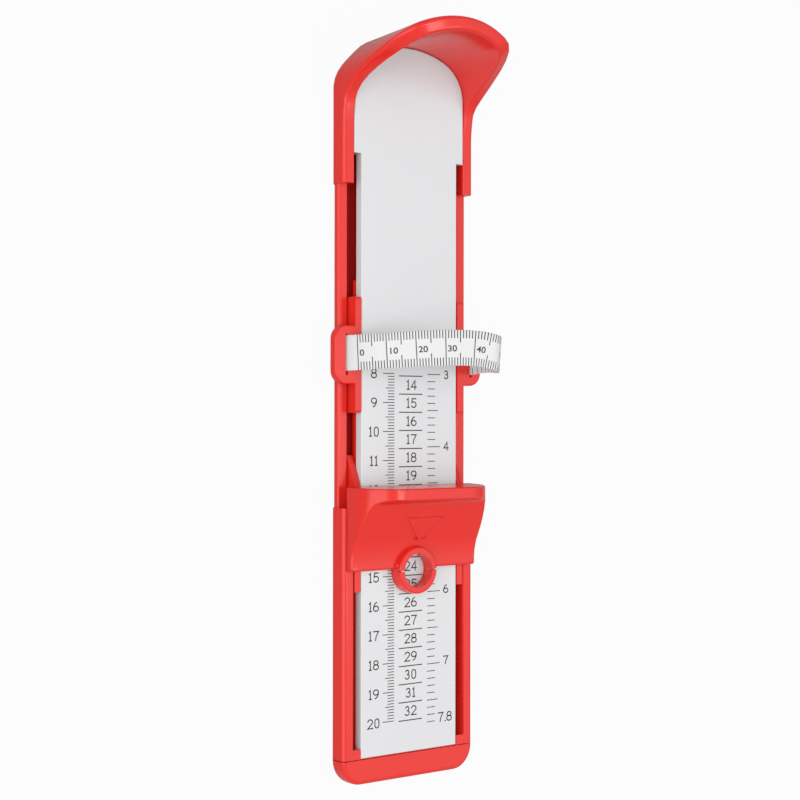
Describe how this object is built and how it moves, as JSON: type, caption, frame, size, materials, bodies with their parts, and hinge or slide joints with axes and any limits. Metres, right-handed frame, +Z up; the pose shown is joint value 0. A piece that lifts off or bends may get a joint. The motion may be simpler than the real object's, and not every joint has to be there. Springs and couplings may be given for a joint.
{
  "type": "foot measuring device",
  "caption": "Children's foot gauge: red moulded tray with a heel cup, white scale plate, sliding toe stop with a ring window, and a sliding carriage with a tape measure loop.",
  "frame": {"origin": "centre of the device's length and width, on its underside", "axes": "+X across the tray, +Y along the tray towards the heel cup, +Z up"},
  "size_m": [0.0636, 0.2587, 0.0408],
  "materials": {
    "red_plastic": "injection moulded, gloss",
    "white_plastic": "smooth, with printed scales",
    "tape_vinyl": "coated tape, printed on both sides"
  },
  "bodies": {
    "gauge": {"tray": "red_plastic", "scale_plate": "white_plastic", "base_cover": "red_plastic", "end_cap": "red_plastic"},
    "toe_stop": {"toe_slider": "red_plastic", "toe_keeper": "red_plastic"},
    "tape_carriage": {"tape_ear_left": "red_plastic", "tape_ear_right": "red_plastic", "tape_keeper": "red_plastic", "tape_clamp": "red_plastic", "measuring_tape": "tape_vinyl"}
  },
  "joints": [
    {"name": "toe_slide", "type": "slide", "parent": "gauge", "child": "toe_stop", "axis": [0, 1, 0], "range_m": [-0.0533, 0.007]},
    {"name": "tape_slide", "type": "slide", "parent": "gauge", "child": "tape_carriage", "axis": [0, 1, 0], "range_m": [-0.007, 0.0479]}
  ]
}
